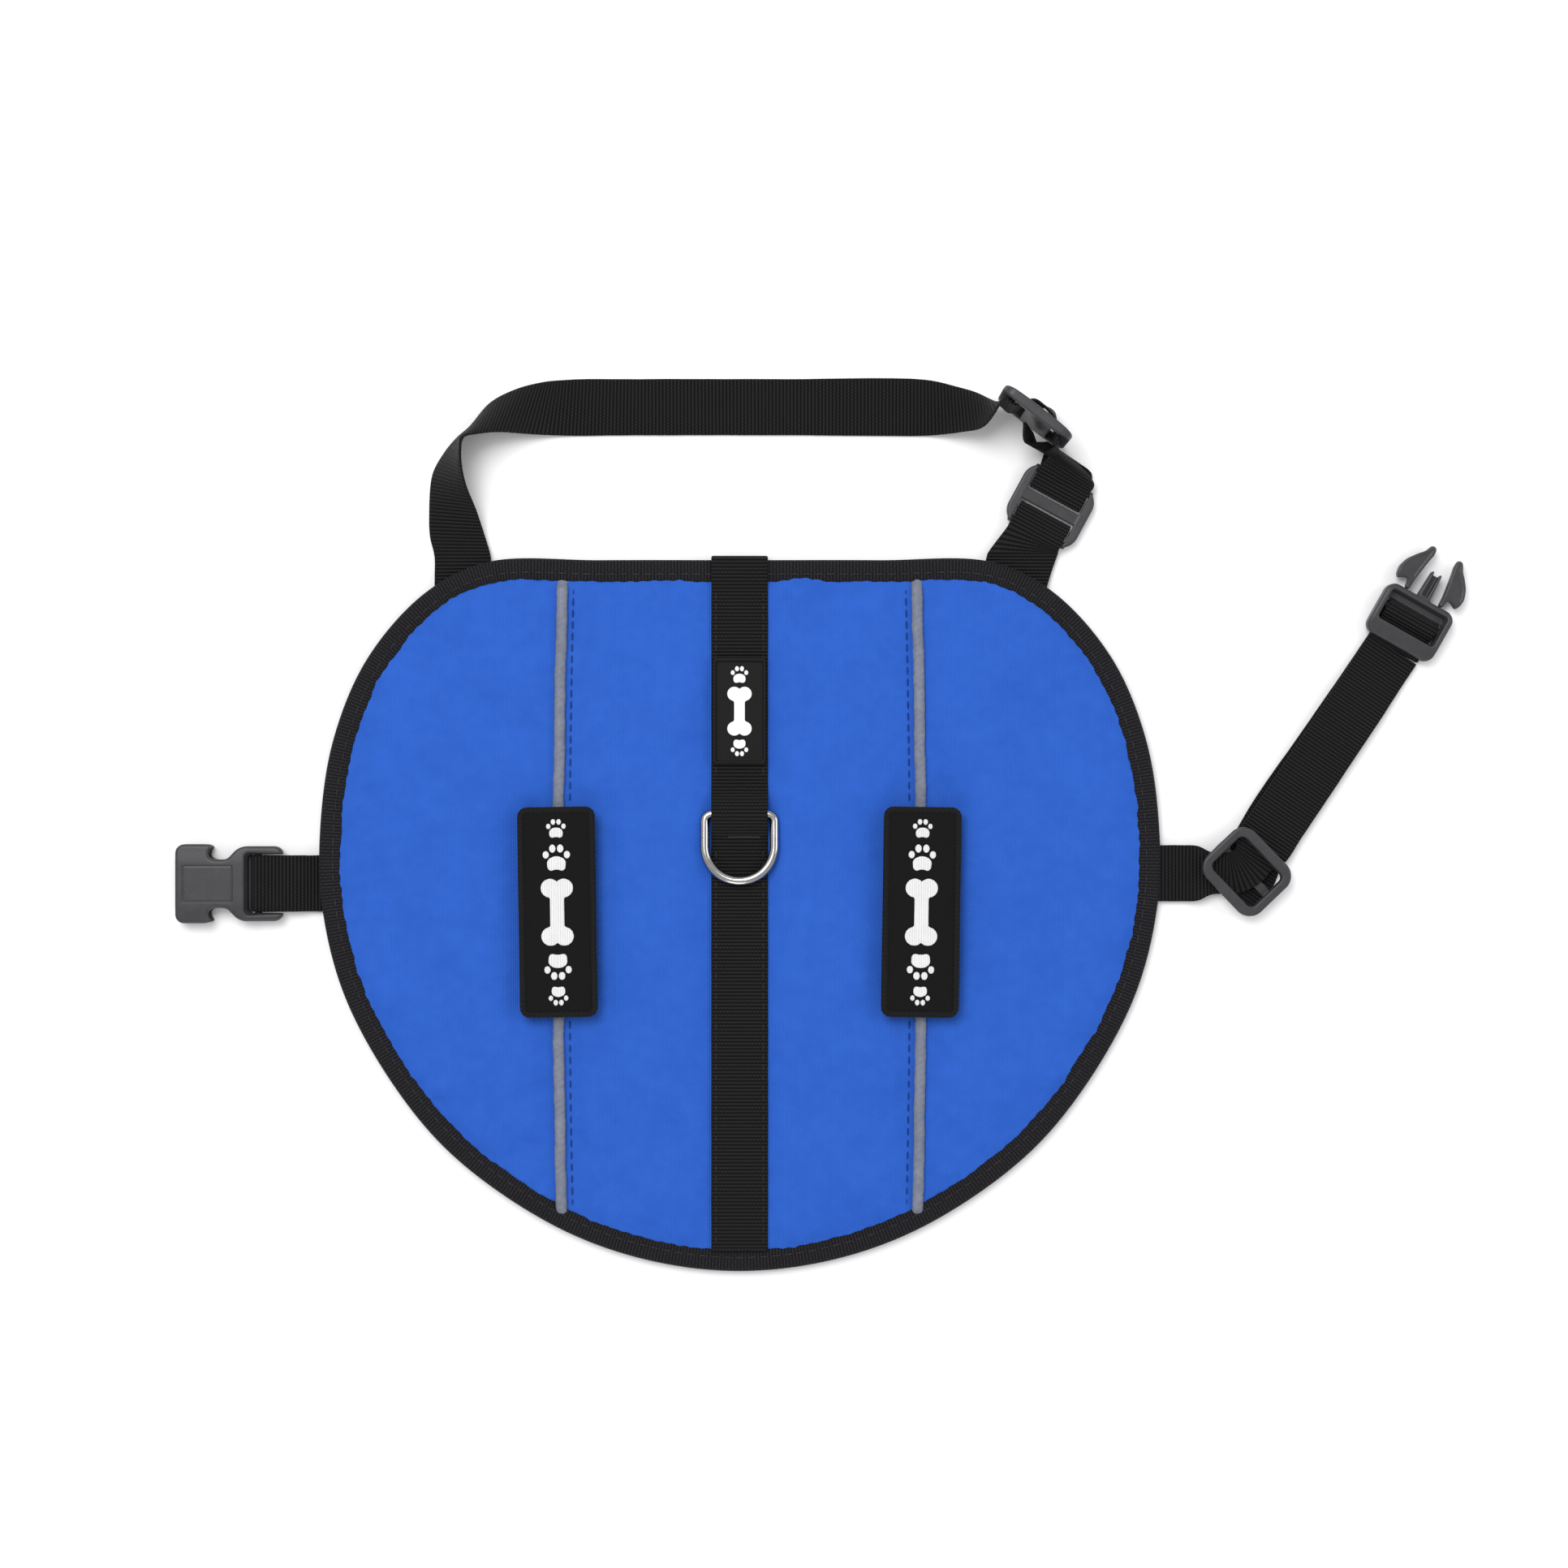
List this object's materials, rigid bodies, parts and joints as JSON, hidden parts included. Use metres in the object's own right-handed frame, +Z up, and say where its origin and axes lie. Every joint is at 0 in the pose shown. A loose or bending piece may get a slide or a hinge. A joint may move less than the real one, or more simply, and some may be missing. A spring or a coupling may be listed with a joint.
{
  "type": "dog support vest",
  "caption": "Padded dog support vest laid flat, with bound edges, neck loop, girth belt with side-release buckle, lead ring and hook-and-loop patches.",
  "frame": {"origin": "on the table under the middle of the spine, at the lining's underside", "axes": "+Z up from the table, +Y towards the neck, +X towards the side with the long girth strap"},
  "size_m": [0.5806, 0.4034, 0.0353],
  "materials": {
    "webbing": "ribbed nylon webbing",
    "binding_tape": "ribbed grosgrain tape",
    "shell_cloth": "plain-woven nylon, soft sheen",
    "lining_mesh": "knitted spacer mesh",
    "foam": "open-cell foam",
    "piping_cloth": "grey reflective coated cloth",
    "filler_cord": "twisted cotton",
    "ring_metal": "polished nickel plate",
    "label_rubber": "matt moulded rubber",
    "emblem_white": "matt moulded rubber",
    "loop_tape": "napped loop tape",
    "hook_tape": "moulded hook tape",
    "patch_twill": "polyester twill",
    "patch_thread": "overlocked rayon thread",
    "white_thread": "satin-stitched rayon",
    "acetal": "satin moulded acetal"
  },
  "bodies": {
    "vest": {"lining_panel": "lining_mesh", "padding_foam": "foam", "shell_left": "shell_cloth", "shell_centre": "shell_cloth", "shell_right": "shell_cloth", "edge_binding": "binding_tape", "neck_tail_left": "webbing", "neck_tail_right": "webbing", "girth_tail_left": "webbing", "girth_tail_right": "webbing", "piping_sleeve_left": "piping_cloth", "piping_cord_left": "filler_cord", "piping_sleeve_right": "piping_cloth", "piping_cord_right": "filler_cord", "spine_webbing": "webbing", "label_plate": "label_rubber", "label_emblem": "emblem_white", "loop_base_left": "loop_tape", "loop_base_right": "loop_tape"},
    "lead_ring": {"d_ring": "ring_metal"},
    "patch_left": {"patch_hook_left": "hook_tape", "patch_face_left": "patch_twill", "patch_border_left": "patch_thread", "patch_bone_left": "white_thread"},
    "patch_right": {"patch_hook_right": "hook_tape", "patch_face_right": "patch_twill", "patch_border_right": "patch_thread", "patch_bone_right": "white_thread"},
    "neck_loop": {"neck_strap": "webbing", "neck_anchor": "webbing", "neck_ring": "acetal", "neck_slider": "acetal"},
    "belt_tab": {"girth_tab": "webbing"},
    "socket": {"buckle_socket": "acetal"},
    "belt": {"girth_strap": "webbing", "girth_return": "webbing"},
    "belt_slider": {"girth_slider": "acetal"},
    "plug": {"plug_frame": "acetal", "plug_strap_loop": "webbing"},
    "latch_arm_left": {"latch_left": "acetal"},
    "latch_arm_right": {"latch_right": "acetal"}
  },
  "joints": [
    {"name": "lead_ring_swing", "type": "hinge", "parent": "vest", "child": "lead_ring", "pos_m": [0, 0.0458, 0.0076], "axis": [-1, 0, 0], "range_deg": [0, 150]},
    {"name": "patch_left_lift", "type": "slide", "parent": "vest", "child": "patch_left", "axis": [0, 0, 1], "range_m": [0, 0.025]},
    {"name": "patch_right_lift", "type": "slide", "parent": "vest", "child": "patch_right", "axis": [0, 0, 1], "range_m": [0, 0.025]},
    {"name": "neck_loop_fold", "type": "hinge", "parent": "vest", "child": "neck_loop", "pos_m": [0, 0.1619, 0.0034], "axis": [1, 0, 0], "range_deg": [0, 115]},
    {"name": "belt_tab_fold", "type": "hinge", "parent": "vest", "child": "belt_tab", "pos_m": [-0.191, 0.0145, 0.0034], "axis": [0, 1, 0], "range_deg": [0, 80]},
    {"name": "socket_swing", "type": "hinge", "parent": "belt_tab", "child": "socket", "pos_m": [-0.21725, 0.0145, 0.0035], "axis": [0, 1, 0], "range_deg": [0, 70]},
    {"name": "belt_fold", "type": "hinge", "parent": "vest", "child": "belt", "pos_m": [0.191, 0.0191, 0.0034], "axis": [0, -1, 0], "range_deg": [0, 100]},
    {"name": "belt_slider_travel", "type": "slide", "parent": "belt", "child": "belt_slider", "axis": [0.5548, 0.832, 0], "range_m": [0, 0.07]},
    {"name": "plug_swing", "type": "hinge", "parent": "belt", "child": "plug", "pos_m": [0.29524, 0.12051, 0.0035], "axis": [0.832, -0.5548, 0], "range_deg": [0, 70]},
    {"name": "latch_left_squeeze", "type": "hinge", "parent": "plug", "child": "latch_arm_left", "pos_m": [0.30065, 0.14756, 0.0049], "axis": [0, 0, -1], "range_deg": [0, 9], "stiffness_Nm_per_rad": 0.05},
    {"name": "latch_right_squeeze", "type": "hinge", "parent": "plug", "child": "latch_arm_right", "pos_m": [0.31562, 0.13909, 0.0049], "axis": [0, 0, 1], "range_deg": [0, 9], "stiffness_Nm_per_rad": 0.05}
  ]
}
